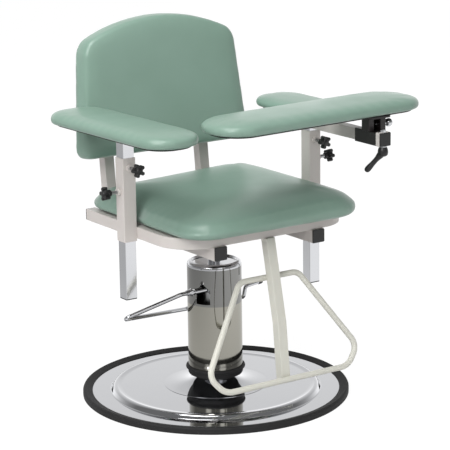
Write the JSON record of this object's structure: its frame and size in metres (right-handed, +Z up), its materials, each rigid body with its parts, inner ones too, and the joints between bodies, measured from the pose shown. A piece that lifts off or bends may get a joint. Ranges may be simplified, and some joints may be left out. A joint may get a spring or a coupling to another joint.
{
  "type": "phlebotomy chair",
  "caption": "Padded blood-draw chair on a round pedestal base with a lift column, swivel, height-adjustable padded arms, a flip-up arm rest and a loop footrest.",
  "frame": {"origin": "centre of the round base at floor level, on the column axis", "axes": "+Z up; the chair faces -Y; the seated person's right hand is at -X"},
  "size_m": [0.7209, 0.6315, 0.8464],
  "materials": {
    "vinyl": "satin vinyl",
    "board_black": "matt",
    "paint_frame": "satin",
    "paint_step": "satin",
    "chrome_base": "polished",
    "chrome_tube": "polished",
    "steel_shroud": "brushed",
    "rubber_rim": "matt",
    "black_plastic": "satin",
    "black_metal": "satin",
    "steel_part": "machined"
  },
  "bodies": {
    "base": {"base_plate": "chrome_base", "base_neck": "chrome_base", "base_rim": "rubber_rim", "shroud_ring": "rubber_rim", "pump_cylinder": "steel_part", "column_shroud": "steel_shroud", "shroud_cap": "chrome_base", "lever_bracket": "steel_part"},
    "pump_lever": {"pump_lever_hub": "chrome_base", "pump_lever_rod": "chrome_base", "pump_lever_tip": "black_plastic"},
    "ram": {"lift_ram": "chrome_base"},
    "chair": {"swivel_mount": "paint_frame", "seat_tube_right": "paint_frame", "seat_tube_left": "paint_frame", "tube_cap_right": "black_plastic", "tube_cap_left": "black_plastic", "seat_frame": "paint_frame", "frame_cap_right": "black_plastic", "frame_cap_left": "black_plastic", "rear_cross_tube": "paint_frame", "back_upright_right": "paint_frame", "back_upright_left": "paint_frame", "arm_post_right": "paint_frame", "arm_post_left": "paint_frame", "seat_board": "board_black", "seat_cushion": "vinyl", "back_board": "board_black", "back_cushion": "vinyl", "footrest_post": "paint_step", "footrest_loop": "paint_step"},
    "arm_right": {"arm_tube_right": "chrome_tube", "arm_tube_cap_right": "black_plastic", "pad_plate_right": "paint_frame", "pad_board_right": "board_black", "pad_cushion_right": "vinyl"},
    "arm_left": {"arm_tube_left": "chrome_tube", "arm_tube_cap_left": "black_plastic", "flip_bar": "paint_frame", "pad_plate_left": "paint_frame", "pad_board_left": "board_black", "pad_cushion_left": "vinyl"},
    "flip_arm": {"flip_sleeve": "black_metal", "clamp_block": "paint_frame", "clamp_cap": "black_plastic", "clamp_bolt": "chrome_base", "pad_bracket": "black_metal", "flip_plate": "black_metal", "pad_board_flip": "board_black", "pad_cushion_flip": "vinyl"},
    "clamp_handle": {"clamp_lever": "black_plastic"},
    "plunger": {"lock_plunger": "chrome_base"},
    "knob_body_front_right": {"knob_front_right": "black_plastic", "knob_screw_front_right": "steel_part"},
    "knob_body_side_right": {"knob_side_right": "black_plastic", "knob_screw_side_right": "steel_part"},
    "knob_body_front_left": {"knob_front_left": "black_plastic", "knob_screw_front_left": "steel_part"},
    "knob_body_side_left": {"knob_side_left": "black_plastic", "knob_screw_side_left": "steel_part"}
  },
  "joints": [
    {"name": "seat_lift", "type": "slide", "parent": "base", "child": "ram", "axis": [0, 0, 1], "range_m": [0, 0.15]},
    {"name": "seat_swivel", "type": "hinge", "parent": "ram", "child": "chair", "pos_m": [0, 0, 0.36], "axis": [0, 0, 1], "continuous": true},
    {"name": "pump_lever_rock", "type": "hinge", "parent": "base", "child": "pump_lever", "pos_m": [-0.037, -0.033, 0.256], "axis": [0, 1, 0], "range_deg": [-8, 0], "stiffness_Nm_per_rad": 20},
    {"name": "arm_height_right", "type": "slide", "parent": "chair", "child": "arm_right", "axis": [0, 0, 1], "range_m": [-0.03, 0.1]},
    {"name": "arm_height_left", "type": "slide", "parent": "chair", "child": "arm_left", "axis": [0, 0, 1], "range_m": [-0.006, 0.14]},
    {"name": "flip_up", "type": "hinge", "parent": "arm_left", "child": "flip_arm", "pos_m": [0.2489, -0.25, 0.6057], "axis": [0, 1, 0], "range_deg": [0, 90]},
    {"name": "clamp_turn", "type": "hinge", "parent": "flip_arm", "child": "clamp_handle", "pos_m": [0.2489, -0.297, 0.58], "axis": [0, 0, 1], "range_deg": [-90, 90]},
    {"name": "plunger_pull", "type": "slide", "parent": "flip_arm", "child": "plunger", "axis": [1, 0, 0], "range_m": [0, 0.008], "stiffness_N_per_m": 800},
    {"name": "knob_turn_front_right", "type": "hinge", "parent": "chair", "child": "knob_body_front_right", "pos_m": [-0.2489, -0.0337, 0.565], "axis": [0, -1, 0], "continuous": true},
    {"name": "knob_turn_side_right", "type": "hinge", "parent": "chair", "child": "knob_body_side_right", "pos_m": [-0.2489, -0.0337, 0.512], "axis": [-1, 0, 0], "continuous": true},
    {"name": "knob_turn_front_left", "type": "hinge", "parent": "chair", "child": "knob_body_front_left", "pos_m": [0.2489, -0.0337, 0.565], "axis": [0, -1, 0], "continuous": true},
    {"name": "knob_turn_side_left", "type": "hinge", "parent": "chair", "child": "knob_body_side_left", "pos_m": [0.2489, -0.0337, 0.52], "axis": [1, 0, 0], "continuous": true}
  ]
}
